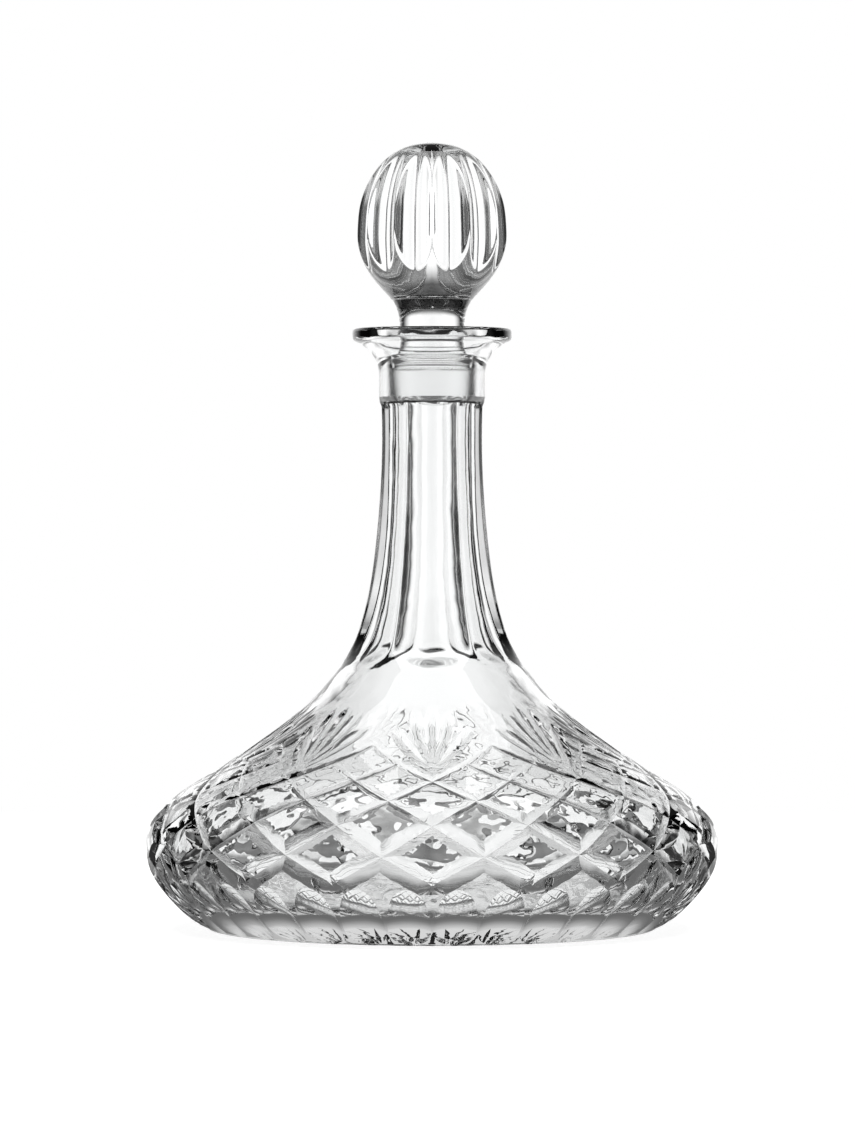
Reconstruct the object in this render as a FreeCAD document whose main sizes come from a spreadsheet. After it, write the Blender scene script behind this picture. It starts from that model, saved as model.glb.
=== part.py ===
import FreeCAD
import Part

import math
import os

import Sketcher

# A cut-crystal ship's decanter: a broad, low body with a long panelled neck and a flat lip, closed by a
# solid ball stopper whose ground plug sits in the neck. Millimetres, +Z up, origin at the middle of the
# foot, front towards -Y. Heights are measured from the table.
DIMENSIONS = {
    # outside of the decanter, from the foot up
    "foot_radius": 74.0,
    "heel_radius": 90.6,
    "heel_height": 14.4,
    "heel_arc": 44.0,
    "belly_radius": 94.8,
    "belly_height": 27.5,
    "under_belly_arc": 22.5,
    "shoulder_radius": 84.3,
    "shoulder_height": 44.2,
    "over_belly_arc": 18.9,
    "slope_radius": 51.2,
    "slope_height": 66.1,
    "throat_radius": 27.0,
    "throat_height": 92.0,
    "throat_arc": 76.0,
    "neck_foot_radius": 19.9,
    "neck_foot_height": 121.8,
    "neck_foot_arc": 94.0,
    "neck_radius": 17.25,
    "neck_height": 157.0,
    "neck_arc": 300.0,
    "collar_radius": 17.6,
    "collar_height": 179.5,
    "collar_arc": 211.0,
    "lip_root_height": 184.0,
    "lip_under_radius": 23.4,
    "lip_under_height": 193.2,
    "lip_under_arc": 11.0,
    "lip_radius": 26.4,
    "lip_height": 198.4,
    "lip_thickness": 4.4,
    "lip_edge_arc": 2.4,
    # hollow of the decanter
    "floor_thickness": 9.0,
    "hollow_floor_radius": 66.0,
    "hollow_belly_radius": 87.2,
    "hollow_belly_height": 28.0,
    "hollow_heel_arc": 26.0,
    "hollow_shoulder_radius": 78.5,
    "hollow_shoulder_height": 41.5,
    "hollow_shoulder_arc": 14.5,
    "hollow_slope_radius": 45.6,
    "hollow_slope_height": 63.0,
    "hollow_throat_radius": 19.0,
    "hollow_throat_height": 92.0,
    "hollow_throat_arc": 76.0,
    "hollow_neck_radius": 11.2,
    "hollow_neck_height": 142.0,
    "hollow_neck_arc": 122.0,
    "mouth_foot_radius": 14.8,
    "mouth_foot_height": 191.8,
    "mouth_radius": 21.2,
    # flat panels of the neck
    "panel_foot_radius": 31.0,
    "panel_foot_height": 87.0,
    "panel_foot_arc": 24.0,
    "panel_lower_radius": 21.7,
    "panel_lower_height": 96.0,
    "panel_mid_radius": 16.7,
    "panel_neck_radius": 14.55,
    "panel_top_radius": 14.9,
    "panel_top_height": 175.0,
    "panel_end_radius": 18.4,
    "panel_end_height": 178.6,
    "panel_count": 6,
    # round flutes round the foot
    "flute_foot_radius": 73.2,
    "flute_top_radius": 94.6,
    "flute_top_height": 21.4,
    "flute_hollow": 15.0,
    "flute_count": 36,
    # shallow hollow under the foot
    "foot_hollow_radius": 64.0,
    "foot_hollow_depth": 1.6,
    "foot_hollow_arc": 1281.0,
    # ground seat, shared by the neck and the plug
    "plug_foot_height": 175.5,
    "plug_foot_radius": 12.7,
    "plug_top_height": 185.5,
    "plug_top_radius": 13.15,
    "plug_bevel": 0.6,
    "seat_clearance": 0.06,
    # stopper above the plug
    "shank_foot_radius": 12.9,
    "shank_foot_height": 190.0,
    "shank_radius": 10.7,
    "shank_start_height": 193.4,
    "shank_height": 198.4,
    "ball_root_radius": 13.8,
    "ball_root_height": 209.3,
    "ball_root_arc": 15.0,
    "ball_radius": 24.9,
    "ball_height": 231.5,
    "ball_lower_arc": 24.2,
    "crown_radius": 14.7,
    "crown_height": 255.0,
    "ball_upper_arc": 30.5,
    "overall_height": 260.0,
    # mitre cuts round the ball
    "mitre_foot_radius": 20.2,
    "mitre_foot_height": 215.0,
    "mitre_radius": 21.6,
    "mitre_height": 233.0,
    "mitre_lower_arc": 68.0,
    "mitre_top_radius": 12.4,
    "mitre_top_height": 258.2,
    "mitre_upper_arc": 44.0,
    "mitre_rise": 0.38,
    "mitre_reach": 12.0,
    "mitre_count": 12,
}
OUTSIDE = 8.0
# The seam of each turned face is kept off the edges of the cuts, in degrees from +X.
SEAM_TURN = 3.7


def build_sheet(doc):
    """The spreadsheet of driving dimensions, one alias a row."""
    sheet = doc.addObject("Spreadsheet::Sheet", "dims")
    for row, (alias, value) in enumerate(DIMENSIONS.items(), start=1):
        sheet.set(f"A{row}", alias.replace("_", " "))
        sheet.set(f"B{row}", str(value))
        sheet.setAlias(f"B{row}", alias)
    doc.recompute()


def new_body(doc, name):
    """An empty body whose label names its file."""
    body = doc.addObject("PartDesign::Body", name)
    body.Label = name
    return body


def new_sketch(body, name, plane, turn=0.0):
    """A sketch on one of the body's own planes, turned about the sheet's up axis by some degrees."""
    sketch = body.newObject("Sketcher::SketchObject", name)
    origin_plane = next(part for part in body.Origin.OriginFeatures if part.Role == plane)
    sketch.AttachmentSupport = [(origin_plane, "")]
    sketch.MapMode = "FlatFace"
    upright = FreeCAD.Vector(0, 1, 0)
    sketch.AttachmentOffset = FreeCAD.Placement(FreeCAD.Vector(), FreeCAD.Rotation(upright, turn))
    return sketch


def edge_between(start, end, radius):
    """A line, or an arc of the given radius: a positive one bulges to the right of the way it runs."""
    if not radius:
        return Part.LineSegment(start, end)
    run = end - start
    half = run.Length / 2
    rise = abs(radius) - math.sqrt(radius * radius - half * half)
    right = FreeCAD.Vector(run.y, -run.x, 0).normalize()
    middle = (start + end) / 2 + right * math.copysign(rise, radius)
    return Part.Arc(start, middle, end)


def end_at(sketch, edge, place):
    """Which end of an edge, 1 or 2, lies at a place."""
    return min((1, 2), key=lambda end: sketch.getPoint(edge, end).distanceToPoint(place))


def constrain(sketch, kind, references, formula):
    """Add a dimension and bind it to the sheet."""
    value = float(sketch.evalExpression(formula))
    index = sketch.addConstraint(Sketcher.Constraint(kind, *references, value))
    sketch.setExpression(f"Constraints[{index}]", formula)


def draw_outline(sketch, corners):
    """Draw a closed outline from (across, up, bend) corners, each a formula of the sheet.

    The bend is the radius of the arc that leads to the next corner, negative for a hollow one."""
    places = [FreeCAD.Vector(float(sketch.evalExpression(across)), float(sketch.evalExpression(up)), 0)
              for across, up, _ in corners]
    edges = []
    for index, (_, _, bend) in enumerate(corners):
        end = places[(index + 1) % len(places)]
        radius = float(sketch.evalExpression(bend)) if bend else 0
        edges.append(sketch.addGeometry(edge_between(places[index], end, radius)))
    for index, (across, up, bend) in enumerate(corners):
        edge, before, place = edges[index], edges[index - 1], places[index]
        end = end_at(sketch, edge, place)
        join = (before, end_at(sketch, before, place), edge, end)
        sketch.addConstraint(Sketcher.Constraint("Coincident", *join))
        for formula, kind, axis in ((across, "DistanceX", -2), (up, "DistanceY", -1)):
            if formula == "0":
                sketch.addConstraint(Sketcher.Constraint("PointOnObject", edge, end, axis))
            else:
                constrain(sketch, kind, (-1, 1, edge, end), formula)
        if bend:
            constrain(sketch, "Radius", (edge,), bend.lstrip("-"))


def revolve(body, kind, name, sketch):
    """Turn a sketch about the upright axis: a Revolution adds, a Groove cuts."""
    turned = body.newObject(f"PartDesign::{kind}", name)
    turned.Profile = sketch
    turned.ReferenceAxis = (sketch, ["V_Axis"])
    turned.Angle = 360
    return turned


def cut(body, name, sketch, length, direction=None, both_ways=False):
    """Pocket a sketch, along its own normal or along a given direction."""
    pocket = body.newObject("PartDesign::Pocket", name)
    pocket.Profile = sketch
    pocket.Type = "Length"
    pocket.setExpression("Length", length)
    if both_ways:
        pocket.SideType = "Symmetric"
    if direction:
        pocket.UseCustomVector = True
        pocket.Direction = direction
        pocket.AlongSketchNormal = False
    return pocket


def around(body, name, cuts, count):
    """Repeat cuts evenly round the upright axis and make the result the body's shape."""
    pattern = body.newObject("PartDesign::PolarPattern", name)
    pattern.Originals = cuts
    upright = next(part for part in body.Origin.OriginFeatures if part.Role == "Z_Axis")
    pattern.Axis = (upright, [""])
    pattern.Angle = 360
    pattern.setExpression("Occurrences", count)
    body.Tip = pattern
    return pattern


def build_decanter(doc):
    """The hollow glass body with its neck and lip, in one piece."""
    body = new_body(doc, "decanter")

    outline = new_sketch(body, "OuterOutline", "XZ_Plane", turn=SEAM_TURN)
    lip_edge_radius = "dims.lip_radius - dims.lip_edge_arc * 0.6"
    draw_outline(outline, [
        ("0", "dims.foot_hollow_depth", "-dims.foot_hollow_arc"),
        ("dims.foot_hollow_radius", "0", ""),
        ("dims.foot_radius", "0", "dims.heel_arc"),
        ("dims.heel_radius", "dims.heel_height", "dims.under_belly_arc"),
        ("dims.belly_radius", "dims.belly_height", "dims.over_belly_arc"),
        ("dims.shoulder_radius", "dims.shoulder_height", ""),
        ("dims.slope_radius", "dims.slope_height", "-dims.throat_arc"),
        ("dims.throat_radius", "dims.throat_height", "-dims.neck_foot_arc"),
        ("dims.neck_foot_radius", "dims.neck_foot_height", "-dims.neck_arc"),
        ("dims.neck_radius", "dims.neck_height", "-dims.collar_arc"),
        ("dims.collar_radius", "dims.collar_height", ""),
        ("dims.collar_radius", "dims.lip_root_height", "-dims.lip_under_arc"),
        ("dims.lip_under_radius", "dims.lip_under_height", ""),
        (lip_edge_radius, "dims.lip_height - dims.lip_thickness", "dims.lip_edge_arc"),
        (lip_edge_radius, "dims.lip_height", ""),
        ("0", "dims.lip_height", ""),
    ])
    revolve(body, "Revolution", "Blank", outline)

    hollow = new_sketch(body, "HollowOutline", "XZ_Plane", turn=SEAM_TURN)
    draw_outline(hollow, [
        ("0", "dims.floor_thickness", ""),
        ("dims.hollow_floor_radius", "dims.floor_thickness", "dims.hollow_heel_arc"),
        ("dims.hollow_belly_radius", "dims.hollow_belly_height", "dims.hollow_shoulder_arc"),
        ("dims.hollow_shoulder_radius", "dims.hollow_shoulder_height", ""),
        ("dims.hollow_slope_radius", "dims.hollow_slope_height", "-dims.hollow_throat_arc"),
        ("dims.hollow_throat_radius", "dims.hollow_throat_height", "-dims.hollow_neck_arc"),
        ("dims.hollow_neck_radius", "dims.hollow_neck_height", ""),
        ("dims.hollow_neck_radius", "dims.plug_foot_height - 2 * dims.plug_bevel", ""),
        ("dims.plug_foot_radius + dims.seat_clearance", "dims.plug_foot_height - dims.plug_bevel", ""),
        ("dims.plug_top_radius + dims.seat_clearance", "dims.plug_top_height", ""),
        ("dims.mouth_foot_radius", "dims.mouth_foot_height", ""),
        ("dims.mouth_radius", "dims.lip_height", ""),
        ("dims.mouth_radius", "dims.lip_height + dims.lip_thickness", ""),
        ("0", "dims.lip_height + dims.lip_thickness", ""),
    ])
    revolve(body, "Groove", "Hollow", hollow)

    panel = new_sketch(body, "PanelOutline", "YZ_Plane")
    clear_of_neck = f"dims.panel_foot_radius + {OUTSIDE}"
    draw_outline(panel, [
        ("dims.panel_foot_radius", "dims.panel_foot_height", ""),
        (clear_of_neck, "dims.panel_foot_height", ""),
        (clear_of_neck, "dims.panel_end_height", ""),
        ("dims.panel_end_radius", "dims.panel_end_height", ""),
        ("dims.panel_top_radius", "dims.panel_top_height", "dims.collar_arc"),
        ("dims.panel_neck_radius", "dims.neck_height", "dims.neck_arc"),
        ("dims.panel_mid_radius", "dims.neck_foot_height", "dims.neck_foot_arc"),
        ("dims.panel_lower_radius", "dims.panel_lower_height", "dims.panel_foot_arc"),
    ])
    panel_cut = cut(body, "PanelCut", panel, "3 * dims.panel_foot_radius", both_ways=True)
    around(body, "NeckPanels", [panel_cut], "dims.panel_count")

    flute = new_sketch(body, "FluteSection", "XY_Plane")
    half_pitch = math.pi / DIMENSIONS["flute_count"]
    axis_radius = "(dims.flute_foot_radius + dims.flute_hollow)"
    across = f"{axis_radius} * cos(180 / dims.flute_count)"
    along = f"{axis_radius} * sin(180 / dims.flute_count)"
    centre = FreeCAD.Vector(float(flute.evalExpression(across)), float(flute.evalExpression(along)), 0)
    upward = FreeCAD.Vector(0, 0, 1)
    circle = flute.addGeometry(Part.Circle(centre, upward, DIMENSIONS["flute_hollow"]))
    constrain(flute, "DistanceX", (-1, 1, circle, 3), across)
    constrain(flute, "DistanceY", (-1, 1, circle, 3), along)
    constrain(flute, "Radius", (circle,), "dims.flute_hollow")
    spread = DIMENSIONS["flute_top_radius"] - DIMENSIONS["flute_foot_radius"]
    lean = FreeCAD.Vector(spread * math.cos(half_pitch), spread * math.sin(half_pitch),
                          DIMENSIONS["flute_top_height"])
    flute_cut = cut(body, "FluteCut", flute, "2 * dims.flute_top_height", direction=lean)
    around(body, "FootFlutes", [flute_cut], "dims.flute_count")
    return body


def build_stopper(doc):
    """The solid ball stopper with its shank and ground plug, in one piece."""
    body = new_body(doc, "stopper")

    outline = new_sketch(body, "StopperOutline", "XZ_Plane", turn=SEAM_TURN)
    crown_rise = "(dims.overall_height - dims.crown_height)"
    crown_arc = f"(dims.crown_radius ^ 2 + {crown_rise} ^ 2) / (2 * {crown_rise})"
    draw_outline(outline, [
        ("0", "dims.plug_foot_height", ""),
        ("dims.plug_foot_radius - dims.plug_bevel", "dims.plug_foot_height", ""),
        ("dims.plug_foot_radius", "dims.plug_foot_height + dims.plug_bevel", ""),
        ("dims.plug_top_radius", "dims.plug_top_height", ""),
        ("dims.shank_foot_radius", "dims.shank_foot_height", ""),
        ("dims.shank_radius", "dims.shank_start_height", ""),
        ("dims.shank_radius", "dims.shank_height", "-dims.ball_root_arc"),
        ("dims.ball_root_radius", "dims.ball_root_height", "dims.ball_lower_arc"),
        ("dims.ball_radius", "dims.ball_height", "dims.ball_upper_arc"),
        ("dims.crown_radius", "dims.crown_height", crown_arc),
        ("0", "dims.overall_height", ""),
    ])
    revolve(body, "Revolution", "Turned", outline)

    half_pitch = 180 / DIMENSIONS["mitre_count"]
    valley = new_sketch(body, "MitreValley", "XZ_Plane", turn=half_pitch)
    clear_of_ball = f"dims.ball_radius + {OUTSIDE}"
    draw_outline(valley, [
        ("dims.mitre_foot_radius", "dims.mitre_foot_height", ""),
        (clear_of_ball, "dims.mitre_foot_height", ""),
        (clear_of_ball, "dims.mitre_top_height", ""),
        ("dims.mitre_top_radius", "dims.mitre_top_height", "-dims.mitre_upper_arc"),
        ("dims.mitre_radius", "dims.mitre_height", "-dims.mitre_lower_arc"),
    ])
    meridian = math.radians(half_pitch)
    outward = FreeCAD.Vector(math.cos(meridian), math.sin(meridian), 0)
    sideways = FreeCAD.Vector(-outward.y, outward.x, 0)
    flanks = []
    for side, name in ((1, "MitreLeftFlank"), (-1, "MitreRightFlank")):
        direction = sideways * side + outward * DIMENSIONS["mitre_rise"]
        flanks.append(cut(body, name, valley, "dims.mitre_reach", direction=direction))
    around(body, "BallMitres", flanks, "dims.mitre_count")
    return body


def check(doc, bodies):
    """Stop if any object failed to recompute or any body is not one sound solid."""
    for item in doc.Objects:
        if "Invalid" in item.State or "Error" in item.State:
            raise RuntimeError(f"{item.Name} failed: {item.State}")
    for body in bodies:
        shape = body.Shape
        if shape.isNull() or not shape.isValid() or len(shape.Solids) != 1:
            raise RuntimeError(f"{body.Label} is not one valid solid")


def main():
    doc = FreeCAD.newDocument("ShipsDecanter")
    build_sheet(doc)
    bodies = [build_decanter(doc), build_stopper(doc)]
    doc.recompute()
    check(doc, bodies)
    os.makedirs("parts", exist_ok=True)
    for body in bodies:
        body.Shape.exportStep(f"parts/{body.Label}.step")
        box = body.Shape.BoundBox
        print(body.Label, f"{body.Shape.Volume / 1000:.1f} cm3", box)


main()
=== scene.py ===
"""A cut-crystal ship's decanter with a ball stopper: every cut is ground out of the turned glass as a
wheel would cut it, so the facets are real geometry."""

import math

import bmesh
import bpy
import numpy as np
from bpy.props import FloatProperty, FloatVectorProperty, IntProperty, PointerProperty
from bpy.types import Operator, Panel, PropertyGroup
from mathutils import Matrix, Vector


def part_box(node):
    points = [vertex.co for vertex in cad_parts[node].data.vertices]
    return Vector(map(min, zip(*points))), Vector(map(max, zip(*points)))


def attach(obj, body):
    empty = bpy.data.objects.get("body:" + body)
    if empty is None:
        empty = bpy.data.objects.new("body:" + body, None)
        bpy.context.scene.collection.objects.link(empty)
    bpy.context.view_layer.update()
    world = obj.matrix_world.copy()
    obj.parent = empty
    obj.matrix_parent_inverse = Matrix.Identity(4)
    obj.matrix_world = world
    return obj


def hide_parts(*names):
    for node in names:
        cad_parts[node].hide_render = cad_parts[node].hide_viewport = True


bl_info = {
    "name": "Cut-crystal decanter",
    "version": (1, 0, 0),
    "blender": (4, 5, 0),
    "location": "3D View > Sidebar > Decanter",
    "description": "Makes a ship's decanter with its stopper, cuts and studio",
    "category": "Add Mesh",
}

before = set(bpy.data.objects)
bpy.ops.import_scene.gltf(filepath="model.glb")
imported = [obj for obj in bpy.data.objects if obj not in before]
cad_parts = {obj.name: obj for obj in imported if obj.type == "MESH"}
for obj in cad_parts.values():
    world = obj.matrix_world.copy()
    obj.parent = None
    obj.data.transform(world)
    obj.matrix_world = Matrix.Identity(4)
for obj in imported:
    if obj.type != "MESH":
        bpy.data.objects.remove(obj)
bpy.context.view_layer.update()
BODY_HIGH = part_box("decanter")[1]

MM = 0.001
FRONT = -math.pi / 2
POLISHED, BLOWN, GROUND = range(3)
# A radius beyond every cut, and the rounding of sharp edges and of the neck's ridges, in millimetres.
FAR_OUT, EDGE_ROUND, RIDGE_ROUND = 1000.0, 0.45, 1.0
# How far the bottom of each ball cut is rounded, as a share of the radius.
VALLEY_ROUND = 0.008


# ---------------------------------------------------------------- sizes and colours

class DecanterSizes(PropertyGroup):
    belly_radius: FloatProperty(
        name="Belly radius", description="Widest radius of the body",
        default=BODY_HIGH.x, unit="LENGTH")
    lip_height: FloatProperty(
        name="Lip height", description="Height of the lip's top above the table",
        default=BODY_HIGH.z, unit="LENGTH")
    rounds: IntProperty(
        name="Steps round", description="Facets round the turned glass", default=288, min=36)
    flute_count: IntProperty(
        name="Foot flutes", description="Round flutes cut up from the heel", default=36, min=6)
    flute_hollow: FloatProperty(
        name="Flute hollow", description="Radius of the wheel's round edge for the foot flutes",
        default=0.0125, unit="LENGTH")
    lozenge_count: IntProperty(
        name="Lozenges", description="Lozenges round the belly", default=18, min=6)
    mitre_depth: FloatProperty(
        name="Mitre depth", description="Depth of the lozenge cuts", default=0.0024, unit="LENGTH")
    mitre_slope: FloatProperty(
        name="Mitre slope", description="Slope of each side of a lozenge cut",
        default=math.radians(26), subtype="ANGLE")
    fan_count: IntProperty(
        name="Fans", description="Fans of blades over the lozenges", default=9, min=3)
    fan_depth: FloatProperty(
        name="Blade depth", description="Depth of a fan's blades", default=0.0006, unit="LENGTH")
    panel_count: IntProperty(
        name="Neck panels", description="Flat panels round the neck", default=6, min=3)
    star_points: IntProperty(
        name="Star points", description="Points of the star under the foot", default=24, min=6)


class StopperSizes(PropertyGroup):
    rounds: IntProperty(
        name="Steps round", description="Facets round the turned stopper", default=384, min=36)
    mitre_count: IntProperty(
        name="Ball cuts", description="Mitre cuts round the ball", default=12, min=4)
    mitre_slope: FloatProperty(
        name="Ball cut slope", description="Slope of each side of a cut",
        default=math.atan(0.4), subtype="ANGLE")
    flank_hollow: FloatProperty(
        name="Flank hollow", description="How far each side of a ball cut is hollowed",
        default=0.0004, unit="LENGTH")


class CrystalFinish(PropertyGroup):
    glass_color: FloatVectorProperty(
        name="Glass", description="Colour of the clear crystal", subtype="COLOR",
        size=4, min=0, max=1, default=(0.985, 0.99, 0.99, 1.0))
    glass_ior: FloatProperty(
        name="Refraction", description="Refractive index of the crystal", default=1.52)
    ground_roughness: FloatProperty(
        name="Ground roughness", description="Roughness of the ground plug and seat", default=0.15)


class StudioSizes(PropertyGroup):
    floor_color: FloatVectorProperty(
        name="Floor", description="Colour of the pale floor", subtype="COLOR",
        size=4, min=0, max=1, default=(0.92, 0.92, 0.92, 1.0))
    floor_glow: FloatProperty(
        name="Floor glow", description="Light added to the floor that the camera sees", default=0.85, min=0)
    # This also sets the strength of the painted light and shade on the table seen in the glass.
    wall_glow: FloatProperty(
        name="Wall glow", description="Brightness of the white wall seen through the glass",
        default=1.2, min=0)
    camera_distance: FloatProperty(
        name="Camera distance", description="From the decanter's axis to the camera",
        default=1.655, unit="LENGTH")
    eye_height: FloatProperty(
        name="Eye height", description="Camera height above the table", default=0.1347, unit="LENGTH")
    lens: FloatProperty(
        name="Lens", description="Focal length in millimetres", default=158.8)


# ---------------------------------------------------------------- outlines

def arc(start, end, radius, steps):
    """Points after start up to end on an arc; a positive radius bulges to the right of the way it runs."""
    start, end = np.array(start, float), np.array(end, float)
    run = end - start
    half = np.hypot(*run) / 2
    toward = np.array([-run[1], run[0]]) / (2 * half) * math.copysign(1, radius)
    centre = (start + end) / 2 + toward * math.sqrt(max(radius * radius - half * half, 0))
    first = math.atan2(*(start - centre)[::-1])
    turn = (math.atan2(*(end - centre)[::-1]) - first + math.pi) % (2 * math.pi) - math.pi
    angles = first + turn * np.arange(1, steps + 1) / steps
    return np.column_stack([centre[0] + abs(radius) * np.cos(angles),
                            centre[1] + abs(radius) * np.sin(angles)])


def spline(knots, spacing):
    """A natural cubic spline through knots, sampled at about even spacing."""
    knots = np.array(knots, float)
    gaps = np.hypot(*np.diff(knots, axis=0).T)
    at = np.concatenate([[0], np.cumsum(gaps)])
    count = len(knots)
    matrix = np.eye(count)
    right = np.zeros((count, 2))
    for i in range(1, count - 1):
        before, after = gaps[i - 1], gaps[i]
        matrix[i, i - 1:i + 2] = before, 2 * (before + after), after
        right[i] = 6 * ((knots[i + 1] - knots[i]) / after - (knots[i] - knots[i - 1]) / before)
    bend = np.linalg.solve(matrix, right)
    samples = np.linspace(0, at[-1], max(int(round(at[-1] / spacing)), 2) + 1)
    which = np.clip(np.searchsorted(at, samples, side="right") - 1, 0, count - 2)
    gap = gaps[which][:, None]
    left = ((at[which + 1] - samples)[:, None]) / gap
    here = 1 - left
    return (left * knots[which] + here * knots[which + 1]
            + ((left ** 3 - left) * bend[which] + (here ** 3 - here) * bend[which + 1]) * gap ** 2 / 6)


class Outline:
    """The outer outline as a curve that the cutting wheels follow, by distance run from the foot."""

    def __init__(self, points):
        self.points = np.array(points, float)
        self.run = np.concatenate([[0], np.cumsum(np.hypot(*np.diff(self.points, axis=0).T))])

    def at(self, run):
        """Radius and height there, and the outward direction in the upright plane."""
        place = np.array([np.interp(run, self.run, self.points[:, axis]) for axis in (0, 1)])
        nudge = 0.001
        ahead, behind = (np.array([np.interp(run + step, self.run, self.points[:, axis])
                                   for axis in (0, 1)]) for step in (nudge, -nudge))
        along = (ahead - behind) / np.hypot(*(ahead - behind))
        return place, np.array([along[1], -along[0]])

    def run_at_height(self, height):
        """Distance run at a height, on the part that only climbs."""
        return float(np.interp(height, self.points[:, 1], self.run))


# Radius and height, in millimetres: the outside from the heel to the neck's collar, and the hollow
# from the neck down to its floor.
BODY_KNOTS = [(74.6, 0.6), (78.6, 2.6), (84.3, 7.2), (89.0, 12.4), (92.9, 18.4), (94.8, 26.6), (94.2, 32.3),
              (91.4, 37.4), (86.6, 42.4), (80.4, 46.9), (71.8, 52.3), (62.4, 58.2), (51.2, 66.1),
              (41.4, 74.1), (34.1, 82.0), (28.2, 90.0), (24.8, 97.9), (22.2, 107.0), (20.2, 118.0),
              (18.7, 130.0), (17.9, 142.0), (17.5, 155.0), (17.45, 168.0), (17.6, 179.0)]
HOLLOW_KNOTS = [(11.2, 158.0), (11.2, 146.0), (11.4, 133.0), (12.3, 120.0), (14.7, 106.0), (19.0, 93.4),
                (26.4, 81.6), (36.0, 70.9), (47.0, 61.9), (62.0, 52.4), (75.6, 43.6), (84.2, 35.4),
                (87.2, 27.4), (84.4, 19.4), (77.2, 12.4), (66.0, 9.2)]
HOLLOW_FLOOR = 9.0
# The ground seat's ends, as radius and height.
SEAT_TOP, SEAT_FOOT = (13.21, 185.6), (12.76, 175.0)
# A face counts as the seat, the hollow or its floor when its middle is within these, in millimetres.
SEAT_MARGIN, HOLLOW_MARGIN = 0.4, 1.2
# Below this height, in millimetres, a face that looks down is the underside.
UNDERSIDE = 2.5
# Limits on a normal's upward part: facing down, and facing more to the side than up or down.
FACING_DOWN, FACING_SIDE = -0.9, 0.5


def decanter_outline():
    """The turned glass as a closed outline, from the middle of the foot round to the hollow's floor.

    The part of it from the heel to the collar, which the wheels follow, is returned beside it."""
    outside = spline(BODY_KNOTS, 1.6)
    parts = [
        [(0, 0), (30, 0), (60, 0), (73.4, 0)],
        arc((73.4, 0), outside[0], 1.4, 5)[:-1],
        outside,
        [(17.6, 183.6)],
        arc((17.6, 183.6), (22.6, 192.6), -11.6, 14),
        arc((22.6, 192.6), (25.0, 194.0), -6.0, 4),
        arc((25.0, 194.0), (26.4, 195.6), 1.7, 6),
        [(26.4, 197.2)],
        arc((26.4, 197.2), (25.2, 198.4), 1.2, 5),
        [(21.6, 198.4)],
        arc((21.6, 198.4), (20.6, 198.0), 1.4, 3),
        [(14.8, 191.8)],
        arc((14.8, 191.8), (14.0, 190.6), -6.0, 3),
        [SEAT_TOP, SEAT_FOOT, (11.6, 174.3), (11.2, 173.0)],
        spline(HOLLOW_KNOTS, 2.4),
        [(50, HOLLOW_FLOOR), (25, HOLLOW_FLOOR), (0, HOLLOW_FLOOR)],
    ]
    return np.vstack([np.array(part, float).reshape(-1, 2) for part in parts]), outside


def stopper_outline():
    """The closed outline of the turned stopper, from the middle of the plug's foot to the crown."""
    parts = [
        [(0, 175.5), (4, 175.5), (12.1, 175.5)],
        arc((12.1, 175.5), (12.7, 176.1), 0.6, 3),
        [(13.15, 185.5), (12.6, 186.1), (12.6, 187.0)],
        arc((12.6, 187.0), (13.2, 188.3), -2.0, 4),
        arc((13.2, 188.3), (12.8, 190.3), 1.5, 6),
        arc((12.8, 190.3), (11.3, 191.6), -2.0, 4),
        [(10.8, 193.4)],
        spline([(10.7, 196.2), (10.7, 199.6), (11.0, 202.6), (11.8, 205.3), (13.0, 207.8)], 0.7)[1:],
        arc((13.0, 207.8), (13.9, 208.7), 1.6, 4),
        spline([(13.9, 208.7), (17.3, 212.4), (20.9, 217.0), (23.5, 222.4), (24.75, 228.0), (24.9, 233.0),
                (24.1, 239.0), (22.0, 245.2), (18.6, 251.0), (14.0, 255.6), (7.2, 259.0), (0.0, 260.0)],
               0.5)[1:],
    ]
    return np.vstack([np.array(part, float).reshape(-1, 2) for part in parts])


# ---------------------------------------------------------------- meshes

def add_object(name, points, faces):
    """A mesh object in metres, linked to the scene."""
    mesh = bpy.data.meshes.new(name)
    mesh.from_pydata([tuple(point) for point in points], [], [tuple(face) for face in faces])
    mesh.validate()
    piece = bpy.data.objects.new(name, mesh)
    bpy.context.scene.collection.objects.link(piece)
    return piece


def smooth_min(first, second, blend):
    """The smaller of two, with the corner between them rounded off over a blend."""
    near = np.maximum(blend - np.abs(first - second), 0) / blend
    return np.minimum(first, second) - near * near * blend / 4


def from_nearest(angles, count):
    """Angle from the middle of the nearest of a number of even cuts, and from the next nearest."""
    pitch = 2 * math.pi / count
    nearest = np.abs((angles + pitch / 2) % pitch - pitch / 2)
    return nearest, pitch - nearest


def lathe(name, outline, rounds, ground):
    """Turn a closed outline, in millimetres, that starts and ends on the axis.

    For a height and the angles from the front, ground gives the radius that the cuts leave, and the
    smaller of that and the turned radius is kept."""
    angles = np.arange(rounds) * 2 * math.pi / rounds
    c, s = np.cos(FRONT + angles), np.sin(FRONT + angles)
    points = [(0.0, 0.0, outline[0][1])]
    for radius, height in outline[1:-1]:
        radii = smooth_min(radius, ground(height, angles), EDGE_ROUND)
        points += list(zip(radii * c, radii * s, [height] * rounds))
    points.append((0.0, 0.0, outline[-1][1]))
    last = len(points) - 1
    faces = []
    for k in range(rounds):
        beside = (k + 1) % rounds
        faces.append((0, 1 + beside, 1 + k))
        for row in range(len(outline) - 3):
            low, high = 1 + row * rounds, 1 + (row + 1) * rounds
            faces.append((low + k, low + beside, high + beside, high + k))
        faces.append((last, last - rounds + k, last - rounds + beside))
    return add_object(name, np.array(points) * MM, faces)


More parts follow.
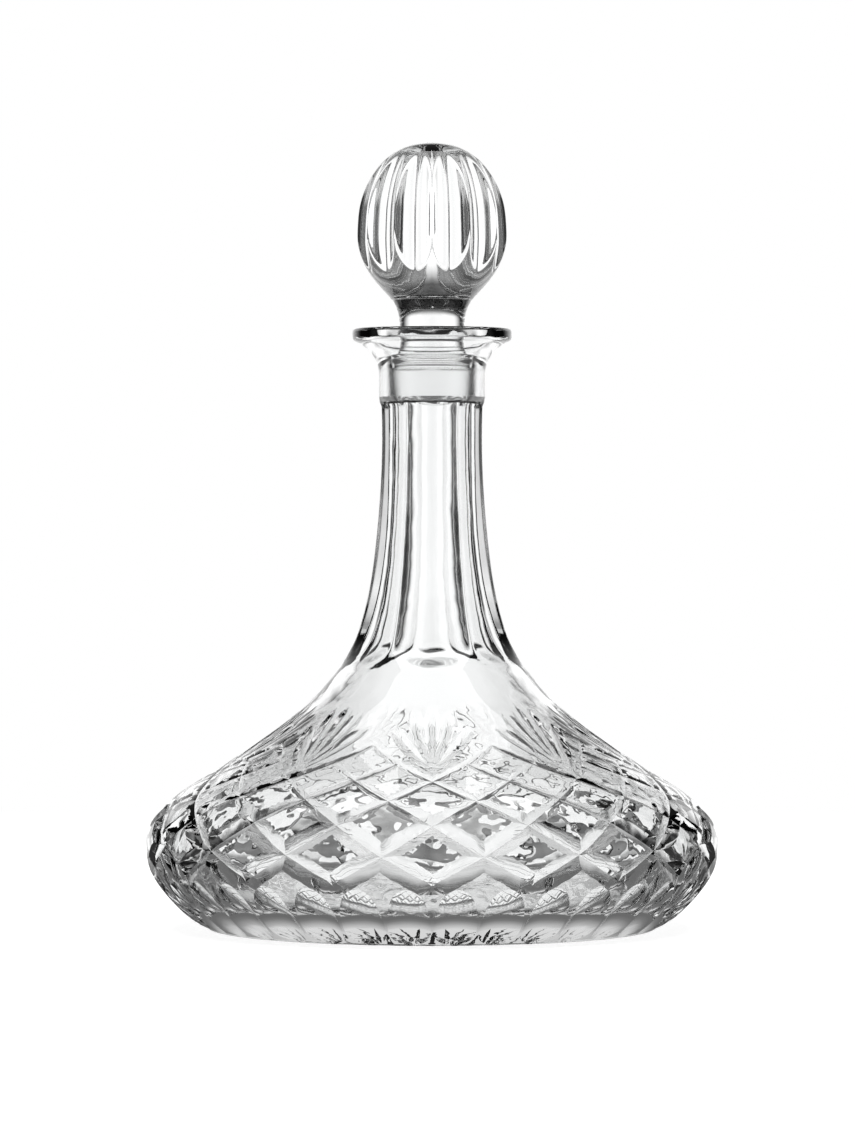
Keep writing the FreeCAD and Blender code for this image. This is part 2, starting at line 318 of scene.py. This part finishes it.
def sweep(path, outward, section, depths, heights=None):
    """A closed wheel cut: the section, across and out, carried along a path and sunk by the depths.

    The heights, if given, scale how far the section rises at each place."""
    path, outward = np.array(path, float), np.array(outward, float)
    along = np.gradient(path, axis=0)
    along /= np.linalg.norm(along, axis=1)[:, None]
    across = np.cross(along, outward)
    across /= np.linalg.norm(across, axis=1)[:, None]
    size = len(section)
    points = []
    for k, place in enumerate(path):
        base = place - outward[k] * depths[k]
        tall = 1.0 if heights is None else heights[k]
        points += [base + across[k] * side + outward[k] * rise * tall for side, rise in section]
    faces = [tuple(range(size)), tuple(range(len(points) - 1, len(points) - 1 - size, -1))]
    for k in range(len(path) - 1):
        for side in range(size):
            after = (side + 1) % size
            faces.append((k * size + side, (k + 1) * size + side, (k + 1) * size + after, k * size + after))
    return points, faces


def merge(pieces):
    """Several point and face lists as one."""
    points, faces = [], []
    for more_points, more_faces in pieces:
        start = len(points)
        points += list(more_points)
        faces += [tuple(start + corner for corner in face) for face in more_faces]
    return points, faces


def turned_about(piece, angle):
    """The same points and faces, turned about the upright axis."""
    points, faces = piece
    c, s = math.cos(angle), math.sin(angle)
    turn = np.array([[c, -s, 0], [s, c, 0], [0, 0, 1]])
    return [turn @ point for point in points], faces


def around(piece, angles):
    """One piece repeated at angles about the upright axis."""
    return merge([turned_about(piece, angle) for angle in angles])


def outward_faces(mesh):
    """Point every face of a closed mesh outwards."""
    work = bmesh.new()
    work.from_mesh(mesh)
    bmesh.ops.recalc_face_normals(work, faces=work.faces)
    work.to_mesh(mesh)
    work.free()


def grind(piece, cutters):
    """Cut a list of (points, faces) cutters, in millimetres, out of a piece."""
    tools = []
    for number, (points, faces) in enumerate(cutters):
        tool = add_object(f"wheel_{number}", np.array(points) * MM, faces)
        outward_faces(tool.data)
        tools.append(tool)
        cut = piece.modifiers.new(f"cut_{number}", "BOOLEAN")
        cut.operation = "DIFFERENCE"
        cut.solver = "MANIFOLD"
        cut.object = tool
    depsgraph = bpy.context.evaluated_depsgraph_get()
    mesh = bpy.data.meshes.new_from_object(piece.evaluated_get(depsgraph))
    piece.modifiers.clear()
    plain = piece.data
    piece.data = mesh
    mesh.name = plain.name + "_cut"
    bpy.data.meshes.remove(plain)
    for tool in tools:
        tool_mesh = tool.data
        bpy.data.objects.remove(tool)
        bpy.data.meshes.remove(tool_mesh)


def polish(piece, angle):
    """Smooth shading, with every edge sharper than an angle, in degrees, kept crisp."""
    mesh = piece.data
    mesh.shade_smooth()
    mesh.set_sharp_from_angle(angle=math.radians(angle))


# ---------------------------------------------------------------- cuts of the decanter

def mitre_section(slope, height):
    """A V with sides at a slope, its point at the bottom."""
    half = height / math.tan(slope)
    return [(0.0, 0.0), (half, height), (-half, height)]


def round_section(radius, height, steps=20):
    """The round edge of a wheel: an arc up to a height, closed by a flat."""
    reach = math.acos(1 - height / radius)
    angles = np.linspace(-reach, reach, steps + 1)
    return [(radius * math.sin(a), radius * (1 - math.cos(a))) for a in angles][::-1]


def surface_path(outline, angles, runs):
    """Points on the turned outside and the outward directions there."""
    path, outward = [], []
    for angle, run in zip(angles, runs):
        (radius, height), (out, rise) = outline.at(run)
        c, s = math.cos(FRONT + angle), math.sin(FRONT + angle)
        path.append((radius * c, radius * s, height))
        outward.append((out * c, out * s, rise))
    return path, outward


# Heights, in millimetres, of the rows where the lozenge cuts cross, from the lowest points upwards.
LOZENGE_ROWS = [19.7, 29.5, 39.8, 46.6, 52.3, 57.4, 62.7]
# How far a lozenge cut starts below its first row and ends above its last, in rows.
RUN_IN, RUN_OUT = 0.25, 0.22
# Only every fourth cut of a family goes into one tool, so that cuts in a tool never touch.
LOZENGE_TOOLS = 4


def lozenge_cuts(sizes, outline):
    """Two families of slanting mitre cuts that cross in lozenges and end in a zigzag under the fans."""
    rows = [outline.run_at_height(height) for height in LOZENGE_ROWS]
    last = len(rows) - 1
    step = math.pi / sizes.lozenge_count
    depth = sizes.mitre_depth / MM
    section = mitre_section(sizes.mitre_slope, height=3.3)
    cutters = []
    for lean in (1, -1):
        for start in range(LOZENGE_TOOLS):
            family = []
            for line in range(start, sizes.lozenge_count, LOZENGE_TOOLS):
                top = last if line % 2 == 0 else last - 1
                stations = np.linspace(-RUN_IN, top + RUN_OUT, 8 * top + 5)
                angles = lean * (2 * line + stations) * step
                runs = np.interp(stations, range(len(rows)), rows)
                runs += np.where(stations < 0, stations * (rows[1] - rows[0]), 0)
                runs += np.where(stations > last, (stations - last) * (rows[-1] - rows[-2]), 0)
                path, outward = surface_path(outline, angles, runs)
                fade = np.interp(stations, [-RUN_IN, 0.1, 1.6, 2.6, top - 0.2, top + RUN_OUT],
                                 [-0.3, 1, 0.9, 0.17, 0.11, -0.06])
                flatter = np.interp(stations, [1.6, 2.6], [1, 0.48])
                family.append(sweep(path, outward, section, depth * fade, flatter))
            cutters.append(merge(family))
    return cutters


def foot_flutes(sizes):
    """Round flutes that start at the heel and run out below the lozenges."""
    foot, top = np.array([72.2, -1.5]), np.array([95.6, 21.6])
    stations = np.linspace(0, 1, 13)[:, None]
    line = foot + (top - foot) * stations
    lean = (top - foot) / np.hypot(*(top - foot))
    path = [(radius, 0.0, height) for radius, height in line]
    outward = [(lean[1], 0.0, -lean[0])] * len(path)
    section = round_section(sizes.flute_hollow / MM, height=5.5)
    flute = sweep(path, outward, section, np.zeros(len(path)))
    pitch = 2 * math.pi / sizes.flute_count
    return [around(flute, [FRONT + (k + 0.5) * pitch for k in range(start, sizes.flute_count, 2)])
            for start in (0, 1)]


def neck_panels(sizes):
    """Flat panels that follow the neck and run out on the shoulder and under the lip."""
    curve = np.vstack([
        spline([(31.4, 86.4), (26.2, 89.6), (23.2, 93.2), (21.2, 98.6), (19.2, 107.0), (17.4, 118.0),
                (16.1, 130.0), (15.2, 142.0), (14.7, 153.0), (14.55, 164.0), (14.75, 174.0)], 2.0),
        arc((14.75, 174.0), (18.6, 178.8), 5.0, 6),
    ])

    def ground(height, angles):
        flat = np.interp(height, curve[:, 1], curve[:, 0], FAR_OUT, FAR_OUT)
        nearest, beside = from_nearest(angles, sizes.panel_count)
        return smooth_min(flat / np.cos(nearest), flat / np.cos(beside), RIDGE_ROUND)

    return ground


# Each blade of a fan: lean of its tip to the side, in degrees round the body, and the tip's height.
FAN_BLADES = [(0.0, 77.0), (8.0, 74.8), (15.5, 69.2)]


def fan_blades(sizes, outline):
    """Fans of tapered blades that spread up the shoulder from the low points of the zigzag."""
    depth = sizes.fan_depth / MM
    base, curl = outline.run_at_height(54.6), 1.15
    stations = np.linspace(0, 1, 19)
    sink = np.interp(stations, [0, 0.12, 0.45, 0.75, 1], [-0.2, 0.45, 1, 0.95, -0.2])
    gouge = round_section(radius=8.0, height=2.4, steps=14)
    cutters = []
    for lean, height in FAN_BLADES:
        tip = outline.run_at_height(height)
        for side in ((1, -1) if lean else (1,)):
            blades = []
            for fan in range(sizes.fan_count):
                middle = fan * 2 * math.pi / sizes.fan_count
                angles = middle + side * math.radians(lean) * stations ** curl
                runs = base + (tip - base) * stations
                path, outward = surface_path(outline, angles, runs)
                blades.append(sweep(path, outward, gouge, depth * sink))
            cutters.append(merge(blades))
    return cutters


def foot_star(sizes):
    """A many-pointed star hollowed under the foot, its facets rising to the middle."""
    apex, tip, notch, below = 1.4, 54.0, 24.0, -3.0
    points, faces = [(0.0, 0.0, apex)], []
    count = 2 * sizes.star_points
    for k in range(count):
        angle = math.pi * k / sizes.star_points
        radius = tip if k % 2 == 0 else notch
        points.append((radius * math.cos(angle), radius * math.sin(angle), 0.0))
    for k in range(count):
        x, y, _ = points[1 + k]
        points.append((x, y, below))
    for k in range(count):
        after = (k + 1) % count
        faces.append((0, 1 + k, 1 + after))
        faces.append((1 + k, 1 + count + k, 1 + count + after, 1 + after))
    faces.append(tuple(range(1 + count, 1 + 2 * count)))
    return [(points, faces)]


def ball_mitres(sizes):
    """Mitre cuts from the crown to below the ball's middle, so that ribs stand between them."""
    valley = spline([(20.0, 214.2), (20.75, 216.8), (21.05, 219.4), (21.2, 222.0), (21.45, 226.2),
                     (21.35, 231.6), (20.8, 238.6), (19.1, 245.6), (16.56, 251.6), (13.2, 256.4),
                     (10.2, 259.4)], 1.2)
    slope = math.tan(sizes.mitre_slope)
    half_pitch = math.pi / sizes.mitre_count

    def ground(height, angles):
        floor = np.interp(height, valley[:, 1], valley[:, 0], FAR_OUT, FAR_OUT)
        flanks = []
        for away in from_nearest(angles - half_pitch, sizes.mitre_count):
            flank = floor / (np.cos(away) - slope * np.hypot(np.sin(away), VALLEY_ROUND))
            hollow = np.sin(np.minimum(away / half_pitch, 1) * math.pi)
            flanks.append(flank - sizes.flank_hollow / MM * hollow)
        return smooth_min(*flanks, EDGE_ROUND)

    return ground


# ---------------------------------------------------------------- materials

def hand_polish_group():
    """Slow waves and fine wheel marks left by grinding and polishing, as a height."""
    group = bpy.data.node_groups.new("hand_polish", "ShaderNodeTree")
    group.interface.new_socket("Wave size", in_out="INPUT", socket_type="NodeSocketFloat")
    group.interface.new_socket("Fine share", in_out="INPUT", socket_type="NodeSocketFloat")
    group.interface.new_socket("Height", in_out="OUTPUT", socket_type="NodeSocketFloat")
    group.interface.new_socket("Haze", in_out="OUTPUT", socket_type="NodeSocketFloat")
    nodes, links = group.nodes, group.links
    inputs = nodes.new("NodeGroupInput")
    outputs = nodes.new("NodeGroupOutput")
    place = nodes.new("ShaderNodeTexCoord")
    wave = nodes.new("ShaderNodeTexNoise")
    wave.inputs["Detail"].default_value = 1.5
    fine = nodes.new("ShaderNodeTexNoise")
    fine.inputs["Scale"].default_value = 900.0
    fine.inputs["Detail"].default_value = 3.0
    haze = nodes.new("ShaderNodeMapRange")
    haze.inputs["To Min"].default_value = 0.0
    haze.inputs["To Max"].default_value = 1.0
    mix = nodes.new("ShaderNodeMix")
    links.new(place.outputs["Object"], wave.inputs["Vector"])
    links.new(place.outputs["Object"], fine.inputs["Vector"])
    links.new(inputs.outputs["Wave size"], wave.inputs["Scale"])
    links.new(inputs.outputs["Fine share"], mix.inputs[0])
    links.new(wave.outputs["Fac"], mix.inputs[2])
    links.new(fine.outputs["Fac"], mix.inputs[3])
    links.new(mix.outputs[0], outputs.inputs["Height"])
    links.new(fine.outputs["Fac"], haze.inputs["Value"])
    links.new(haze.outputs["Result"], outputs.inputs["Haze"])
    return group


def crystal(name, finish, roughness, haze, wave_size, fine_share, strength):
    """Clear crystal; the roughness varies over it by up to the haze, and strength is the relief's."""
    material = bpy.data.materials.new(name)
    material.use_nodes = True
    nodes, links = material.node_tree.nodes, material.node_tree.links
    shader = nodes["Principled BSDF"]
    shader.inputs["Base Color"].default_value = finish.glass_color
    shader.inputs["Metallic"].default_value = 0.0
    shader.inputs["Transmission Weight"].default_value = 1.0
    shader.inputs["IOR"].default_value = finish.glass_ior
    marks = nodes.new("ShaderNodeGroup")
    marks.node_tree = bpy.data.node_groups.get("hand_polish") or hand_polish_group()
    marks.inputs["Wave size"].default_value = wave_size
    marks.inputs["Fine share"].default_value = fine_share
    spread = nodes.new("ShaderNodeMapRange")
    spread.inputs["To Min"].default_value = roughness
    spread.inputs["To Max"].default_value = roughness + haze
    links.new(marks.outputs["Haze"], spread.inputs["Value"])
    links.new(spread.outputs["Result"], shader.inputs["Roughness"])
    bump = nodes.new("ShaderNodeBump")
    bump.inputs["Strength"].default_value = strength
    bump.inputs["Distance"].default_value = MM
    links.new(marks.outputs["Height"], bump.inputs["Height"])
    links.new(bump.outputs["Normal"], shader.inputs["Normal"])
    return material


def glass_finishes(finish):
    """Polished outside, blown in the hollow and under the foot, and ground on the seat and the plug.

    Each is made once and shared by both pieces."""
    def shared(name, **values):
        return bpy.data.materials.get(name) or crystal(name, finish, **values)

    return [
        shared("polished_crystal", roughness=0.0, haze=0.004, wave_size=110.0, fine_share=0.01,
               strength=0.08),
        shared("blown_crystal", roughness=0.0, haze=0.004, wave_size=90.0, fine_share=0.0,
               strength=0.55),
        shared("ground_crystal", roughness=finish.ground_roughness, haze=0.05, wave_size=400.0,
               fine_share=0.7, strength=0.05),
    ]


def give_finishes(piece, finish, which):
    """Polished, blown or ground, by what the test of a face's middle and direction says."""
    piece.data.materials.clear()
    for material in glass_finishes(finish):
        piece.data.materials.append(material)
    for face in piece.data.polygons:
        face.material_index = which(face.center, face.normal)


# ---------------------------------------------------------------- operators

class DECANTER_OT_body(Operator):
    """Turn and cut the hollow body, with its neck and lip"""
    bl_idname = "decanter.make_body"
    bl_label = "Cut body"

    def execute(self, context):
        sizes, finish = context.scene.decanter_sizes, context.scene.crystal_finish
        outline, outside = decanter_outline()
        across = sizes.belly_radius / MM / outline[:, 0].max()
        tall = sizes.lip_height / MM / outline[:, 1].max()
        outline, outside = outline * (across, tall), Outline(outside * (across, tall))
        piece = lathe("cut_decanter", outline, sizes.rounds, neck_panels(sizes))
        cuts = (lozenge_cuts(sizes, outside) + foot_flutes(sizes)
                + fan_blades(sizes, outside) + foot_star(sizes))
        grind(piece, cuts)
        polish(piece, 20)

        hollow = np.array(HOLLOW_KNOTS[::-1])
        floor, foot, top = HOLLOW_FLOOR - SEAT_MARGIN, SEAT_FOOT[1] - SEAT_MARGIN, SEAT_TOP[1] + SEAT_MARGIN

        def finish_of(middle, normal):
            radius, height = middle.xy.length / MM, middle.z / MM
            if radius < SEAT_TOP[0] + SEAT_MARGIN and foot < height < top:
                return GROUND
            inside = radius < np.interp(height, hollow[:, 1], hollow[:, 0]) + HOLLOW_MARGIN
            below = height < UNDERSIDE and normal.z < FACING_DOWN
            return BLOWN if below or (inside and floor < height < foot) else POLISHED

        give_finishes(piece, finish, finish_of)
        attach(piece, "decanter")
        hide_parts("decanter")
        return {"FINISHED"}


class DECANTER_OT_stopper(Operator):
    """Turn and cut the ball stopper with its ground plug"""
    bl_idname = "decanter.make_stopper"
    bl_label = "Ball stopper"

    def execute(self, context):
        sizes, finish = context.scene.stopper_sizes, context.scene.crystal_finish
        piece = lathe("cut_stopper", stopper_outline(), sizes.rounds, ball_mitres(sizes))
        polish(piece, 35)

        def finish_of(middle, normal):
            return GROUND if middle.z / MM < SEAT_TOP[1] and abs(normal.z) < FACING_SIDE else POLISHED

        give_finishes(piece, finish, finish_of)
        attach(piece, "stopper")
        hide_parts("stopper")
        return {"FINISHED"}


class DECANTER_OT_studio(Operator):
    """Make the pale floor, the soft light and the camera"""
    bl_idname = "decanter.make_studio"
    bl_label = "Studio"

    def execute(self, context):
        sizes = context.scene.studio_sizes
        make_floor(sizes)
        make_world(sizes)
        make_lamps()
        make_camera(sizes)
        context.scene.view_settings.view_transform = "Standard"
        return {"FINISHED"}


def add_maths(nodes, links, operation, *values):
    """A maths node; each value is a number or another node's output."""
    node = nodes.new("ShaderNodeMath")
    node.operation = operation
    for place, value in enumerate(values):
        if isinstance(value, (int, float)):
            node.inputs[place].default_value = value
        else:
            links.new(value, node.inputs[place])
    return node.outputs[0]


def add_ramp(nodes, links, value, stops):
    """A grey ramp over a value; each stop is a position and a brightness."""
    ramp = nodes.new("ShaderNodeValToRGB")
    ramp.color_ramp.interpolation = "EASE"
    while len(ramp.color_ramp.elements) < len(stops):
        ramp.color_ramp.elements.new(0.5)
    for element, (position, grey) in zip(ramp.color_ramp.elements, stops):
        element.position = position
        element.color = (grey, grey, grey, 1)
    links.new(value, ramp.inputs[0])
    return ramp.outputs[0]


# The next four ramps are the studio that the glass refracts and mirrors. The camera itself sees a
# pale floor that melts into white, also by MELT_STOPS.
# Brightness of the walls by the angle away from straight behind, as a share of half a turn.
WALL_STOPS = [(0.0, 0.86), (0.05, 0.9), (0.10, 1.0), (0.16, 1.0), (0.31, 0.02), (0.42, 0.02),
              (0.5, 0.16), (0.75, 0.11), (1.0, 0.24)]
# Painted light and shade of the table seen in the glass, by the distance in metres from its middle: painted
# light under the foot, a painted shadow in a ring round it, and brighter further off.
TABLE_SHADE_STOPS = [(0.05, 0.6), (0.07, 0.12), (0.12, 0.13), (0.18, 0.25), (0.3, 0.7), (0.45, 1.0)]
# How far the table has melted into the walls, by the same distance.
MELT_STOPS = [(0.2, 0.0), (0.7, 1.0)]
# Share of the walls' brightness that is left, by the upward part of the direction; 1 is straight up.
CEILING_STOPS = [(0.28, 1.0), (0.58, 0.08), (1.0, 0.08)]
# The lamp's side and height above the table in metres, and its power in watts.
LAMP_SIDE, LAMP_HEIGHT, LAMP_POWER = 2.4, 2.6, 40
# The camera's place to the side of the axis, in metres, and its tilt.
CAMERA_SIDE, CAMERA_TILT = -0.0015, math.radians(-0.515)


def studio_walls_group():
    """Brightness of the studio's walls in a direction: white behind the object, nearly black to both
    sides of that, and dim in front."""
    group = bpy.data.node_groups.new("studio_walls", "ShaderNodeTree")
    group.interface.new_socket("Direction", in_out="INPUT", socket_type="NodeSocketVector")
    group.interface.new_socket("Color", in_out="OUTPUT", socket_type="NodeSocketColor")
    nodes, links = group.nodes, group.links
    inputs = nodes.new("NodeGroupInput")
    outputs = nodes.new("NodeGroupOutput")
    parts = nodes.new("ShaderNodeSeparateXYZ")
    links.new(inputs.outputs["Direction"], parts.inputs[0])
    azimuth = add_maths(nodes, links, "ARCTAN2", parts.outputs["X"], parts.outputs["Y"])
    share = add_maths(nodes, links, "DIVIDE", add_maths(nodes, links, "ABSOLUTE", azimuth), math.pi)
    wall = add_ramp(nodes, links, share, WALL_STOPS)
    links.new(wall, outputs.inputs["Color"])
    return group


def add_walls(nodes, links, direction):
    """The walls' brightness in a direction, by the shared group."""
    walls = nodes.new("ShaderNodeGroup")
    walls.node_tree = bpy.data.node_groups.get("studio_walls") or studio_walls_group()
    links.new(direction, walls.inputs["Direction"])
    return walls.outputs["Color"]


def add_mix(nodes, links, blend, share, first, second):
    """A colour mix; the share is a number or a node's output, a colour is fixed or a node's output."""
    mix = nodes.new("ShaderNodeMix")
    mix.data_type = "RGBA"
    mix.blend_type = blend
    if isinstance(share, float):
        mix.inputs[0].default_value = share
    else:
        links.new(share, mix.inputs[0])
    for socket, value in ((mix.inputs[6], first), (mix.inputs[7], second)):
        if isinstance(value, tuple):
            socket.default_value = value
        else:
            links.new(value, socket)
    return mix.outputs[2]


def make_floor(sizes):
    """A wide pale table that melts into a white wall. In the glass the table is a glowing sheet of painted
    light and shade: painted light under the middle of the foot, a painted shadow dark in a ring round the
    foot, and painted light that grows further off and melts into the walls' light.
    """
    reach = 12.0
    corners = [(-reach, -reach, 0), (reach, -reach, 0), (reach, reach, 0), (-reach, reach, 0)]
    floor = add_object("floor", corners, [(0, 1, 2, 3)])
    material = bpy.data.materials.new("pale_floor")
    material.use_nodes = True
    nodes, links = material.node_tree.nodes, material.node_tree.links
    shader = nodes["Principled BSDF"]
    shader.inputs["Base Color"].default_value = sizes.floor_color
    shader.inputs["Roughness"].default_value = 0.9
    shader.inputs["Specular IOR Level"].default_value = 0.1
    shader.inputs["Emission Color"].default_value = (1, 1, 1, 1)
    shader.inputs["Emission Strength"].default_value = sizes.floor_glow
    place = nodes.new("ShaderNodeTexCoord")
    length = nodes.new("ShaderNodeVectorMath")
    length.operation = "LENGTH"
    links.new(place.outputs["Object"], length.inputs[0])
    far = add_ramp(nodes, links, length.outputs["Value"], MELT_STOPS)
    # The painted shadow round the foot and the painted light under it, as the table's brightness in the
    # glass.
    near = add_ramp(nodes, links, length.outputs["Value"], TABLE_SHADE_STOPS)
    # Further off, the table in the glass is painted with the walls' light.
    walls = add_walls(nodes, links, place.outputs["Object"])
    walls = add_mix(nodes, links, "MIX", far, (1, 1, 1, 1), walls)
    # The glow is the table seen in the glass: an emitter of painted light and shade, as strong as the wall.
    white = nodes.new("ShaderNodeEmission")
    glow = nodes.new("ShaderNodeEmission")
    links.new(add_mix(nodes, links, "MULTIPLY", 1.0, near, walls), glow.inputs["Color"])
    glow.inputs["Strength"].default_value = sizes.wall_glow
    rays = nodes.new("ShaderNodeLightPath")
    melt = nodes.new("ShaderNodeMixShader")
    links.new(far, melt.inputs[0])
    links.new(shader.outputs[0], melt.inputs[1])
    links.new(white.outputs[0], melt.inputs[2])
    # Rays from the glass see the painted light and shade; the camera sees the pale floor.
    choose = nodes.new("ShaderNodeMixShader")
    links.new(rays.outputs["Is Camera Ray"], choose.inputs[0])
    links.new(glow.outputs[0], choose.inputs[1])
    links.new(melt.outputs[0], choose.inputs[2])
    links.new(choose.outputs[0], nodes["Material Output"].inputs["Surface"])
    floor.data.materials.append(material)


def make_world(sizes):
    """White all round; in the glass it is the studio's walls, darker overhead."""
    world = bpy.data.worlds.new("studio")
    bpy.context.scene.world = world
    world.use_nodes = True
    nodes, links = world.node_tree.nodes, world.node_tree.links
    nodes.clear()
    place = nodes.new("ShaderNodeTexCoord")
    parts = nodes.new("ShaderNodeSeparateXYZ")
    links.new(place.outputs["Generated"], parts.inputs[0])
    rise = add_ramp(nodes, links, parts.outputs["Z"], CEILING_STOPS)
    walls = add_walls(nodes, links, place.outputs["Generated"])
    studio = nodes.new("ShaderNodeBackground")
    studio.inputs["Strength"].default_value = sizes.wall_glow
    links.new(add_mix(nodes, links, "MULTIPLY", 1.0, walls, rise), studio.inputs["Color"])
    plain = nodes.new("ShaderNodeBackground")
    plain.inputs["Color"].default_value = (1, 1, 1, 1)
    rays = nodes.new("ShaderNodeLightPath")
    choose = nodes.new("ShaderNodeMixShader")
    out = nodes.new("ShaderNodeOutputWorld")
    links.new(rays.outputs["Is Camera Ray"], choose.inputs[0])
    links.new(studio.outputs[0], choose.inputs[1])
    links.new(plain.outputs[0], choose.inputs[2])
    links.new(choose.outputs[0], out.inputs["Surface"])


def make_lamps():
    """One wide soft lamp overhead."""
    lamp = bpy.data.lights.new("overhead_softbox", "AREA")
    lamp.shape = "RECTANGLE"
    lamp.size, lamp.size_y = LAMP_SIDE, LAMP_SIDE
    lamp.energy = LAMP_POWER
    lamp_object = bpy.data.objects.new("overhead_softbox", lamp)
    lamp_object.location = (0, 0, LAMP_HEIGHT)
    lamp_object.visible_transmission = False
    bpy.context.scene.collection.objects.link(lamp_object)


def make_camera(sizes):
    """The camera in front, looking a little down."""
    data = bpy.data.cameras.new("camera")
    data.lens = sizes.lens
    data.sensor_fit = "AUTO"
    camera = bpy.data.objects.new("camera", data)
    bpy.context.scene.collection.objects.link(camera)
    camera.location = (CAMERA_SIDE, -sizes.camera_distance, sizes.eye_height)
    camera.rotation_euler = (math.pi / 2 + CAMERA_TILT, 0, 0)
    bpy.context.scene.camera = camera


class DECANTER_PT_panel(Panel):
    """Lists the decanter's pieces"""
    bl_idname = "DECANTER_PT_panel"
    bl_label = "Decanter"
    bl_space_type = "VIEW_3D"
    bl_region_type = "UI"
    bl_category = "Decanter"

    def draw(self, context):
        layout = self.layout
        for group in (context.scene.decanter_sizes, context.scene.stopper_sizes,
                      context.scene.crystal_finish, context.scene.studio_sizes):
            for name in group.__annotations__:
                layout.prop(group, name)
        for operator in OPERATORS:
            layout.operator(operator.bl_idname)


OPERATORS = (DECANTER_OT_body, DECANTER_OT_stopper, DECANTER_OT_studio)
GROUPS = {"decanter_sizes": DecanterSizes, "stopper_sizes": StopperSizes,
          "crystal_finish": CrystalFinish, "studio_sizes": StudioSizes}
CLASSES = (*GROUPS.values(), *OPERATORS, DECANTER_PT_panel)


def register():
    for item in CLASSES:
        bpy.utils.register_class(item)
    for name, group in GROUPS.items():
        setattr(bpy.types.Scene, name, PointerProperty(type=group))


def unregister():
    for name in GROUPS:
        delattr(bpy.types.Scene, name)
    for item in reversed(CLASSES):
        bpy.utils.unregister_class(item)


def main():
    """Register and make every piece."""
    register()
    bpy.ops.decanter.make_body()
    bpy.ops.decanter.make_stopper()
    bpy.ops.decanter.make_studio()


if __name__ == "__main__":
    main()
